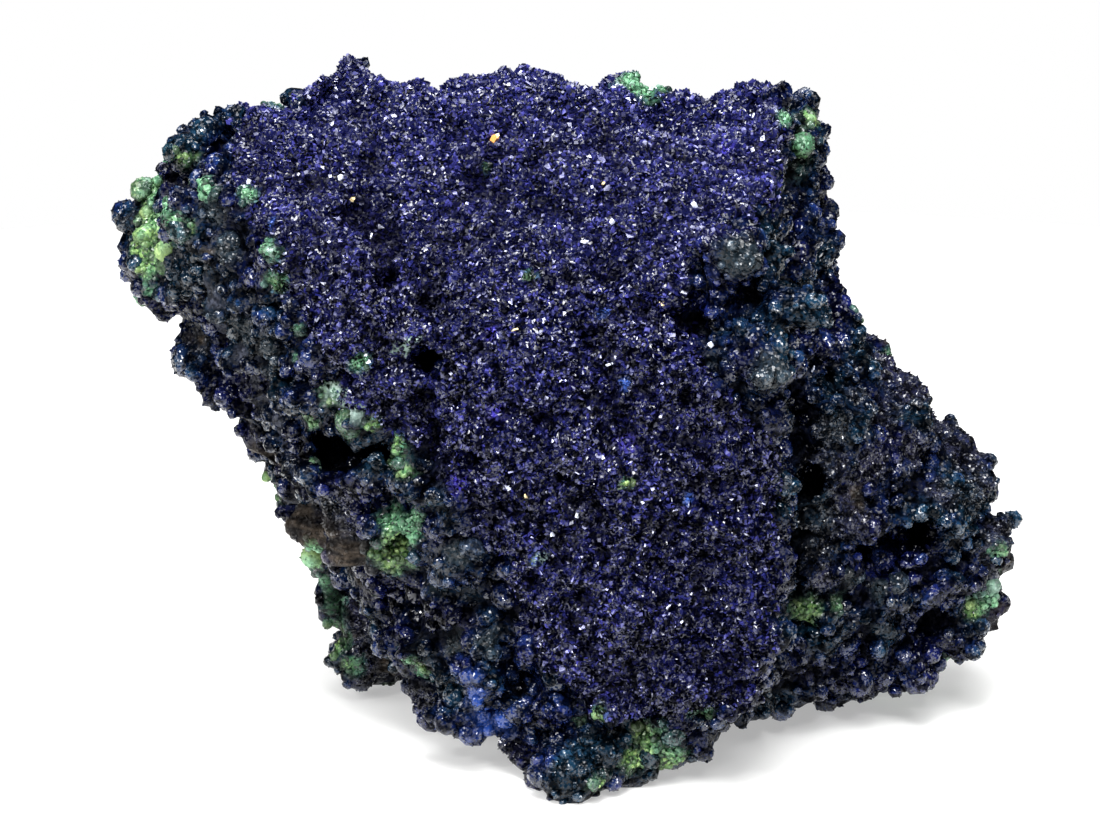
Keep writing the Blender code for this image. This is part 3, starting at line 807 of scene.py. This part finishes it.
def rind_material():
    """Grape-like crust: dark glittering azurite with dull malachite."""
    material, maker, shader = new_material("grape_crust")
    normal, facet = facet_normal(maker, FACET_SIZE, BALL_FACET_TURN)
    tint = maker.math("ADD", maker.math("MULTIPLY", point_value(maker, "tint"), BALL_TINT),
                      maker.math("MULTIPLY", facet, FACET_TINT))
    light = crust_light(maker)
    dull = maker.math("MAXIMUM", point_value(maker, "green"), point_value(maker, "brown"))
    plain, added = BALL_ROUGHNESS
    maker.put(shader.inputs["Base Color"], dimmed(maker, crust_colour(maker, tint), light))
    maker.put(shader.inputs["Specular IOR Level"], maker.math("MULTIPLY", light, FULL_SHINE))
    maker.put(shader.inputs["Roughness"], maker.line(dull, added, plain))
    maker.put(shader.inputs["Normal"], normal)
    shader.inputs["IOR"].default_value = BALL_IOR
    return material


def rock_material():
    """Matrix rock in the gaps between the crusts, tinted by what grows there."""
    material, maker, shader = new_material("matrix_rock")
    normal, facet = facet_normal(maker, FACET_SIZE, ROCK_FACET_TURN)
    light = crust_light(maker)
    colour = crust_colour(maker, maker.math("MULTIPLY", facet, ROCK_TINT))
    # Creases count as dull here: they get rougher and lose shine, and the lost shine is painted shade. The
    # brown and slate places are dull rock.
    dull = maker.math("MAXIMUM", point_value(maker, "crease"), point_value(maker, "brown"))
    dull = maker.math("MAXIMUM", dull, maker.math("MULTIPLY", point_value(maker, "slate"), SLATE_DULLNESS))
    plain, added = ROCK_ROUGHNESS
    shine = maker.line(dull, -ROCK_SHINE_LOSS, FULL_SHINE)
    maker.put(shader.inputs["Base Color"], dimmed(maker, colour, light))
    maker.put(shader.inputs["Normal"], normal)
    maker.put(shader.inputs["Roughness"], maker.line(dull, added, plain))
    maker.put(shader.inputs["Specular IOR Level"], maker.math("MULTIPLY", shine, light))
    return material


def druse_material(violet):
    """Small azurite crystals: violet-blue, from almost black to bright, with a glassy gloss. Painted shade
    darkens them in the creases, and painted light brightens the upper plate.
    """
    material, maker, shader = new_material("azurite_crystals")
    drift = maker.math("SUBTRACT", pattern(maker, DRIFT_SIZE), 0.5)
    crown = point_value(maker, "crown")
    crease = point_value(maker, "crease")
    # Painted light: the upper plate's crystals are moved up the colour ramp.
    shade = maker.line(crown, CROWN_PAINTED_LIGHT, maker.math("ADD", point_value(maker, "tint"), drift))
    colour = ramp(maker, shade, shades(violet, DRUSE_SHADES))
    colour = mixed(maker, point_value(maker, "azure"), colour, DRUSE_AZURE)
    colour = mixed(maker, point_value(maker, "green"), colour, DRUSE_GREEN)
    # Painted shade: the creases are darkened in the colour.
    colour = mixed(maker, maker.math("MULTIPLY", crease, CREASE_SHADE_SHARE), colour, DRUSE_CREASE_SHADE)
    # Light lost in the gaps, with painted light on the upper plate keeping a least share.
    light = maker.math("MAXIMUM", gap_light(maker, *DRUSE_GAPS), maker.math("MULTIPLY", crown, CROWN_LIGHT))
    # Painted shade: the creases lose shine.
    shine = maker.line(crease, -DRUSE_SHINE_LOSS, FULL_SHINE)
    plain, added = DRUSE_ROUGHNESS
    maker.put(shader.inputs["Base Color"], dimmed(maker, colour, light))
    maker.put(shader.inputs["Specular IOR Level"], maker.math("MULTIPLY", shine, light))
    maker.put(shader.inputs["Roughness"], maker.line(point_value(maker, "gloss"), added, plain))
    shader.inputs["Specular Tint"].default_value = DRUSE_SHINE_TINT
    shader.inputs["IOR"].default_value = DRUSE_IOR
    return material


def accent_material():
    """Clear to milky single crystals, white, cream or orange."""
    material, maker, shader = new_material("single_crystal")
    clouds = maker.math("SUBTRACT", pattern(maker, CLOUD_SIZE), 0.5)
    kind = maker.line(clouds, ACCENT_CLOUDS, point_value(maker, "kind"))
    maker.put(shader.inputs["Base Color"], ramp(maker, kind, ACCENT_SHADES))
    shader.inputs["Roughness"].default_value = ACCENT_ROUGHNESS
    shader.inputs["IOR"].default_value = ACCENT_IOR
    return material


# Scattered crusts


def hull_mesh(name, corners):
    """A closed convex crystal through the given corners, about one millimetre in half width."""
    mesh = bpy.data.meshes.new(name)
    bm = bmesh.new()
    verts = [bm.verts.new(Vector(c) * MM) for c in corners]
    bmesh.ops.convex_hull(bm, input=verts)
    loose = [v for v in bm.verts if not v.link_faces]
    bmesh.ops.delete(bm, geom=loose, context="VERTS")
    bmesh.ops.recalc_face_normals(bm, faces=bm.faces)
    bm.to_mesh(mesh)
    bm.free()
    return mesh


def ball_mesh(name, rng, count):
    """An uneven faceted ball, one unit in radius, without the part that is buried."""
    turn = rng.uniform(0.0, math.tau)
    corners = []
    for i in range(count):
        height = 1.0 - (1.0 - BALL_BOTTOM) * (i + 0.5) / count
        angle = turn + i * GOLDEN_ANGLE
        width = math.sqrt(1.0 - height * height)
        swell = 1.0 + rng.uniform(-BALL_JITTER, BALL_JITTER)
        corners.append((swell * width * math.cos(angle), swell * width * math.sin(angle),
                        swell * height - BALL_SINK))
    mesh = hull_mesh(name, corners)
    mesh.shade_smooth()
    return mesh


def form_collection(name, meshes):
    """A collection of single forms, kept out of the scene, for the scatter to pick from."""
    collection = bpy.data.collections.new(name)
    for mesh in meshes:
        collection.objects.link(bpy.data.objects.new(mesh.name, mesh))
    return collection


def scatter_tree():
    """Node tree that grows forms from a collection on a surface, where an attribute says."""
    tree = bpy.data.node_groups.new(SCATTER, "GeometryNodeTree")
    for name, kind in SCATTER_INPUTS:
        tree.interface.new_socket(name, in_out="INPUT", socket_type=f"NodeSocket{kind}")
    tree.interface.new_socket("Geometry", in_out="OUTPUT", socket_type="NodeSocketGeometry")
    maker = TreeMaker(tree)
    seeds = SCATTER_SEEDS
    given = tree.nodes.new("NodeGroupInput").outputs
    zone = maker.add("GeometryNodeInputNamedAttribute", {"data_type": "FLOAT"}, {"Name": given["Zone"]})
    points = maker.add("GeometryNodeDistributePointsOnFaces", {"distribute_method": "POISSON"}, {
        "Mesh": given["Geometry"], "Distance Min": given["Spacing"], "Density Max": given["Density"],
        "Density Factor": enabled_socket(zone.outputs, "Attribute"), "Seed": given["Seed"]})
    negative = maker.math("MULTIPLY", given["Tilt"], -1.0)
    lean_x = maker.random(negative, given["Tilt"], seeds["lean_x"])
    lean_y = maker.random(negative, given["Tilt"], seeds["lean_y"])
    spin = maker.random(0.0, math.tau, seeds["spin"])
    turn = maker.add("ShaderNodeCombineXYZ", None, {0: lean_x, 1: lean_y, 2: spin}).outputs[0]
    turn = maker.add("FunctionNodeEulerToRotation", None, {0: turn}).outputs[0]
    turn = maker.add("FunctionNodeRotateRotation", {"rotation_space": "LOCAL"},
                     {0: points.outputs["Rotation"], 1: turn}).outputs[0]
    share = maker.math("POWER", maker.random(0.0, 1.0, seeds["size"]), SIZE_POWER)
    span = maker.math("SUBTRACT", given["Largest"], given["Smallest"])
    size = maker.line(share, span, given["Smallest"])
    stretch = maker.random(*STRETCH, seeds["stretch"], "FLOAT_VECTOR")
    scale = maker.vector("SCALE", {0: stretch, "Scale": size})
    forms = maker.add("GeometryNodeCollectionInfo", None, {
        "Collection": given["Forms"], "Separate Children": True, "Reset Children": True})
    placed = maker.add("GeometryNodeInstanceOnPoints", None, {
        "Points": points.outputs["Points"], "Instance": forms.outputs[0], "Pick Instance": True,
        "Instance Index": maker.random(0, FORM_DRAWS, seeds["form"], "INT"),
        "Rotation": turn, "Scale": scale})
    current = placed.outputs[0]
    for name, seed in STORED_SEEDS.items():
        stored = maker.add("GeometryNodeStoreNamedAttribute",
                           {"data_type": "FLOAT", "domain": "INSTANCE"},
                           {"Geometry": current, "Name": name, "Value": maker.random(0.0, 1.0, seed)})
        current = stored.outputs[0]
    whole = maker.add("GeometryNodeRealizeInstances", None, {"Geometry": current})
    painted = maker.add("GeometryNodeSetMaterial", None,
                        {"Geometry": whole.outputs[0], "Material": given["Material"]})
    result = tree.nodes.new("NodeGroupOutput")
    tree.links.new(painted.outputs[0], result.inputs[0])
    return tree


def grow(name, ground, zone, forms, material, spacing, sizes, lean, seed, crowding=CROWDING):
    """Grows a crust on a copy of the ground and returns it as one plain mesh."""
    tree = bpy.data.node_groups[SCATTER]
    obj = bpy.data.objects.new(name, ground.data.copy())
    bpy.context.scene.collection.objects.link(obj)
    modifier = obj.modifiers.new("Crust", "NODES")
    modifier.node_group = tree
    sockets = {s.name: s.identifier for s in tree.interface.items_tree if s.in_out == "INPUT"}
    smallest, largest = sizes
    values = {
        "Zone": zone, "Spacing": spacing * MM, "Density": crowding / (spacing * MM) ** 2,
        "Smallest": smallest, "Largest": largest, "Tilt": lean, "Seed": seed,
        "Forms": forms, "Material": material,
    }
    for key, value in values.items():
        modifier[sockets[key]] = value
    return applied(obj)


def outer_balls(names):
    """A scratch copy of the balls that knows which of its points stand out of the rock."""
    bm = bmesh.new()
    for name in names:
        bm.from_mesh(bpy.data.objects[name].data)
    mesh = bpy.data.meshes.new("outer_balls")
    bm.to_mesh(mesh)
    bm.free()
    mark_outer(mesh, surface_tree(bpy.data.objects[ROCK].data))
    obj = bpy.data.objects.new("outer_balls", mesh)
    bpy.context.scene.collection.objects.link(obj)
    return obj


def finish_piece(obj):
    """Keeps the crust above the floor and hands the piece over to the frame."""
    for vert in obj.data.vertices:
        if vert.co.z < 0.0:
            vert.co.z = 0.0
    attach(obj, BODY)


# Settings


class RockSettings(bpy.types.PropertyGroup):
    """The rock under the crusts"""
    voxel: FloatProperty(
        name="Mesh Size", description="Edge length of the rock's mesh, in millimetres",
        default=0.6, min=0.3, max=2.0)
    sink: FloatProperty(
        name="Draw In", description="How far the rock lies under its crusts, in millimetres",
        default=0.4, min=0.0, max=2.0)
    roughness: FloatProperty(
        name="Roughness", description="Share of the full height of the rock's rises",
        default=1.0, min=0.0, max=2.0)
    rock_colour: FloatVectorProperty(
        name="Rock Colour", description="Colour of the bare rock",
        default=(0.055, 0.043, 0.033), **COLOUR_RANGE)


class DruseSettings(bpy.types.PropertyGroup):
    """The even crust of crystals on the plate"""
    smallest: FloatProperty(
        name="Smallest Crystal", description="Half width in millimetres",
        default=0.14, min=0.05, max=2.0)
    largest: FloatProperty(
        name="Largest Crystal", description="Half width in millimetres",
        default=0.33, min=0.05, max=2.0)
    spacing: FloatProperty(
        name="Crystal Spacing", description="Least distance in millimetres",
        default=0.25, min=0.05, max=2.0)
    tilt: FloatProperty(
        name="Lean", description="Largest lean away from the surface normal",
        default=math.radians(48), subtype="ANGLE")
    colour: FloatVectorProperty(
        name="Crystal Colour", description="Colour of the brightest crystals",
        default=(0.038, 0.038, 0.2), **COLOUR_RANGE)
    seed: IntProperty(name="Seed", description="Picks another scatter", default=3)


class GrapeSettings(bpy.types.PropertyGroup):
    """The grape-like crusts"""
    large: FloatProperty(
        name="Large Ball", description="Largest radius in millimetres",
        default=1.35, min=0.2, max=4.0)
    medium: FloatProperty(
        name="Medium Ball", description="Largest radius of the balls between, in millimetres",
        default=0.8, min=0.2, max=4.0)
    grain: FloatProperty(
        name="Grain", description="Largest radius of the malachite grains, in millimetres",
        default=0.42, min=0.1, max=2.0)
    azurite_colour: FloatVectorProperty(
        name="Azurite Colour", description="Colour of the grape-like azurite",
        default=(0.005, 0.014, 0.06), **COLOUR_RANGE)
    malachite_colour: FloatVectorProperty(
        name="Malachite Colour", description="Colour of the malachite",
        default=(0.075, 0.225, 0.115), **COLOUR_RANGE)
    seed: IntProperty(name="Seed", description="Picks another scatter", default=8)


class StageSettings(bpy.types.PropertyGroup):
    """The floor and the room around the lump"""
    floor_colour: FloatVectorProperty(
        name="Floor Colour", description="Colour of the floor",
        default=(0.6, 0.6, 0.59), **COLOUR_RANGE)
    floor_radius: FloatProperty(
        name="Floor Radius", description="Radius of the floor, in millimetres",
        default=230.0, min=50.0, max=3000.0)
    floor_glow: FloatProperty(
        name="Floor Glow", description="Light that the pale floor gives back by itself",
        default=0.4, min=0.0, max=1.0)
    surround: FloatProperty(
        name="Surround", description="Brightness of the room at the lump's height",
        default=0.01, min=0.0, max=4.0)
    sky: FloatProperty(
        name="Ceiling", description="Brightness of the room above the lump",
        default=0.04, min=0.0, max=4.0)


# Operators


class AZURITE_OT_rock(bpy.types.Operator):
    """Make the rock under the crusts"""
    bl_idname = "azurite.rock"
    bl_label = "Matrix Rock"

    def execute(self, context):
        settings = context.scene.azurite_rock
        rock = even_rock(settings.voxel)
        shape_rock(rock, settings.sink, settings.roughness)
        rock.data.materials.clear()
        rock.data.materials.append(rock_material())
        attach(rock, BODY)
        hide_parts(ROCK_NODE)
        return {"FINISHED"}


class AZURITE_OT_druse(bpy.types.Operator):
    """Grow the even crust of small azurite crystals on the front plate"""
    bl_idname = "azurite.druse"
    bl_label = "Azurite Druse"

    def execute(self, context):
        settings = context.scene.azurite_druse
        scatter_tree()
        forms = form_collection("Crystal forms", [hull_mesh(n, c) for n, c in CRYSTAL_FORMS.items()])
        form_collection(SMALL_CRYSTALS, [hull_mesh(f"small_{n}", CRYSTAL_FORMS[n]) for n in SMALL_FORMS])
        material = druse_material(settings.colour)
        for offset, band in enumerate(DRUSE_BANDS):
            crust = grow(f"azurite_druse_{band}", bpy.data.objects[ROCK], f"druse_{band}", forms, material,
                         settings.spacing, (settings.smallest, settings.largest), settings.tilt,
                         settings.seed + offset, PLATE_CROWDING)
            finish_piece(crust)
        return {"FINISHED"}


class AZURITE_OT_grapes(bpy.types.Operator):
    """Grow the grape-like crust on the flanks, the back and the underside"""
    bl_idname = "azurite.grapes"
    bl_label = "Grape-Like Crust"

    def execute(self, context):
        settings = context.scene.azurite_grapes
        rock = bpy.data.objects[ROCK]
        rng = random.Random(BALL_SEED)
        forms = {}
        for kind, count in BALL_POINTS.items():
            balls = [ball_mesh(f"{kind}_ball_{i}", rng, count) for i in range(BALL_FORMS)]
            forms[kind] = form_collection(f"{kind} balls", balls)
        material = rind_material()
        surface = surface_tree(rock.data)
        for offset, (name, zone, kind, spacing, smallest) in enumerate(BALL_CRUSTS):
            largest = getattr(settings, kind)
            crust = grow(name, rock, zone, forms[kind], material, spacing, (smallest * largest, largest),
                         BALL_LEAN, settings.seed + offset)
            if kind != "grain":
                mark_outer(crust.data, surface)
            finish_piece(crust)
        fine = grow("flank_crystals", rock, "bare", bpy.data.collections[SMALL_CRYSTALS], material,
                    FLANK_SPACING, FLANK_SIZES, FLANK_LEAN, settings.seed)
        finish_piece(fine)
        return {"FINISHED"}


class AZURITE_OT_glitter(bpy.types.Operator):
    """Sprinkle small single crystals over the balls"""
    bl_idname = "azurite.glitter"
    bl_label = "Glitter Crystals"

    def execute(self, context):
        ground = outer_balls(name for name, _, kind, _, _ in BALL_CRUSTS if kind != "grain")
        crystals = grow("glitter_crystals", ground, "outer", bpy.data.collections[SMALL_CRYSTALS],
                        bpy.data.materials["grape_crust"], GLITTER_SPACING, GLITTER_SIZES, GLITTER_LEAN,
                        context.scene.azurite_grapes.seed)
        bpy.data.objects.remove(ground)
        finish_piece(crystals)
        return {"FINISHED"}


class AZURITE_OT_accents(bpy.types.Operator):
    """Set the larger white, cream and orange crystals on the druse"""
    bl_idname = "azurite.accents"
    bl_label = "Single Crystals"

    def execute(self, context):
        tree = surface_tree(bpy.data.objects[ROCK].data)
        rng = random.Random(ACCENT_SEED)
        bm = bmesh.new()
        shade = bm.verts.layers.float.new("kind")
        for pixel_x, pixel_y, size, kind in ACCENTS:
            place, normal = seen_point(tree, pixel_x, pixel_y)
            lean = Vector([rng.uniform(-ACCENT_LEAN, ACCENT_LEAN) for _ in range(3)])
            turn = (normal + lean).to_track_quat("Z", "Y").to_matrix()
            spin = Matrix.Rotation(rng.uniform(0.0, math.tau), 3, "Z")
            corners = CRYSTAL_FORMS[rng.choice(ACCENT_FORMS)]
            verts = [bm.verts.new(place + turn @ spin @ Vector(c) * size * MM) for c in corners]
            for vert in verts:
                vert[shade] = ACCENT_KINDS.index(kind) / (len(ACCENT_KINDS) - 1)
            bmesh.ops.convex_hull(bm, input=verts)
        bmesh.ops.recalc_face_normals(bm, faces=bm.faces)
        mesh = bpy.data.meshes.new("single_crystals")
        bm.to_mesh(mesh)
        bm.free()
        mesh.materials.append(accent_material())
        obj = bpy.data.objects.new("single_crystals", mesh)
        context.scene.collection.objects.link(obj)
        finish_piece(obj)
        return {"FINISHED"}


class AZURITE_OT_stage(bpy.types.Operator):
    """Set up the pale floor, the soft lights and the photograph's camera"""
    bl_idname = "azurite.stage"
    bl_label = "Stage"

    def execute(self, context):
        settings = context.scene.azurite_stage
        add_floor(settings)
        add_lights(context.scene, settings)
        add_camera(context.scene)
        return {"FINISHED"}


# Stage


def add_floor(settings):
    """A round pale floor with very faint clouds."""
    bpy.ops.mesh.primitive_circle_add(vertices=FLOOR_SIDES, radius=settings.floor_radius * MM,
                                      fill_type="NGON")
    floor = bpy.context.object
    floor.name = "floor"
    material, maker, shader = new_material("floor_paint")
    colour = tuple(settings.floor_colour)
    maker.put(shader.inputs["Base Color"],
              mixed(maker, pattern(maker, FLOOR_CLOUD_SIZE), colour,
                    tuple(part * FLOOR_CLOUD_SHADE for part in colour)))
    shader.inputs["Roughness"].default_value = FLOOR_ROUGHNESS
    shader.inputs["Emission Color"].default_value = WHITE
    shader.inputs["Emission Strength"].default_value = settings.floor_glow
    floor.data.materials.append(material)


def add_softbox(scene, name, place, size, radiance):
    """A square light that faces the lump; its power follows from its size and brightness."""
    light = bpy.data.lights.new(name, "AREA")
    light.shape = "SQUARE"
    light.size = size * MM
    light.energy = radiance * math.pi * (size * MM) ** 2
    obj = bpy.data.objects.new(name, light)
    scene.collection.objects.link(obj)
    obj.location = Vector(place) * MM
    obj.rotation_euler = (Vector(LIGHT_AIM) - Vector(place)).to_track_quat("-Z", "Y").to_euler()


def add_lights(scene, settings):
    """The soft lights, and a dim room that only the camera sees as white."""
    for name, place, size, radiance in SOFTBOXES:
        add_softbox(scene, name, place, size, radiance)
    world = bpy.data.worlds.new("Surround")
    scene.world = world
    world.use_nodes = True
    maker = TreeMaker(world.node_tree)
    background = world.node_tree.nodes["Background"]
    direction = maker.add("ShaderNodeTexCoord").outputs["Generated"]
    height = maker.add("ShaderNodeSeparateXYZ", None, {0: direction}).outputs["Z"]
    dome = maker.add("ShaderNodeMapRange", {"interpolation_type": "SMOOTHSTEP"}, {
        "Value": height, "From Min": 0.0, "From Max": DOME_TOP, "To Min": settings.surround,
        "To Max": settings.sky}).outputs[0]
    seen = maker.add("ShaderNodeLightPath").outputs["Is Camera Ray"]
    strength = maker.add("ShaderNodeMix", {"data_type": "FLOAT"}, {"Factor": seen, "A": dome, "B": 1.0})
    maker.put(background.inputs["Strength"], enabled_socket(strength.outputs, "Result"))
    background.inputs["Color"].default_value = WHITE
    scene.view_settings.view_transform = "Standard"


def add_camera(scene):
    """The photograph's camera."""
    place, _, _, back = camera_axes()
    camera = bpy.data.cameras.new("photo_camera")
    camera.sensor_width = SENSOR_WIDTH
    camera.lens = SENSOR_WIDTH * FOCAL_PIXELS / PHOTO_WIDTH
    camera.shift_x = (PHOTO_WIDTH / 2 - TARGET_PIXEL[0]) / PHOTO_WIDTH
    camera.shift_y = (TARGET_PIXEL[1] - PHOTO_HEIGHT / 2) / PHOTO_WIDTH
    camera.clip_start = CLIP_START
    obj = bpy.data.objects.new("photo_camera", camera)
    scene.collection.objects.link(obj)
    obj.location = place
    obj.rotation_euler = (-back).to_track_quat("-Z", "Y").to_euler()
    scene.camera = obj


# Panel and registration


class AZURITE_PT_panel(bpy.types.Panel):
    """Sizes and colours of the specimen, with the steps that use them"""
    bl_idname = "AZURITE_PT_panel"
    bl_label = "Azurite Specimen"
    bl_space_type = "VIEW_3D"
    bl_region_type = "UI"
    bl_category = "Azurite"

    def draw(self, context):
        for group, operators in PANEL_ROWS.items():
            box = self.layout.box()
            settings = getattr(context.scene, group)
            for operator in operators:
                box.operator(operator)
            for name in GROUPS[group].__annotations__:
                box.prop(settings, name)


PANEL_ROWS = {
    "azurite_rock": ("azurite.rock",),
    "azurite_druse": ("azurite.druse", "azurite.accents"),
    "azurite_grapes": ("azurite.grapes", "azurite.glitter"),
    "azurite_stage": ("azurite.stage",),
}
GROUPS = {
    "azurite_rock": RockSettings,
    "azurite_druse": DruseSettings,
    "azurite_grapes": GrapeSettings,
    "azurite_stage": StageSettings,
}
CLASSES = (
    *GROUPS.values(),
    AZURITE_OT_rock,
    AZURITE_OT_druse,
    AZURITE_OT_grapes,
    AZURITE_OT_glitter,
    AZURITE_OT_accents,
    AZURITE_OT_stage,
    AZURITE_PT_panel,
)


def register():
    for cls in CLASSES:
        bpy.utils.register_class(cls)
    for name, group in GROUPS.items():
        setattr(bpy.types.Scene, name, PointerProperty(type=group))


def unregister():
    for name in GROUPS:
        delattr(bpy.types.Scene, name)
    for cls in reversed(CLASSES):
        bpy.utils.unregister_class(cls)


def main():
    register()
    bpy.ops.azurite.rock()
    bpy.ops.azurite.druse()
    bpy.ops.azurite.grapes()
    bpy.ops.azurite.glitter()
    bpy.ops.azurite.accents()
    bpy.ops.azurite.stage()


if __name__ == "__main__":
    main()
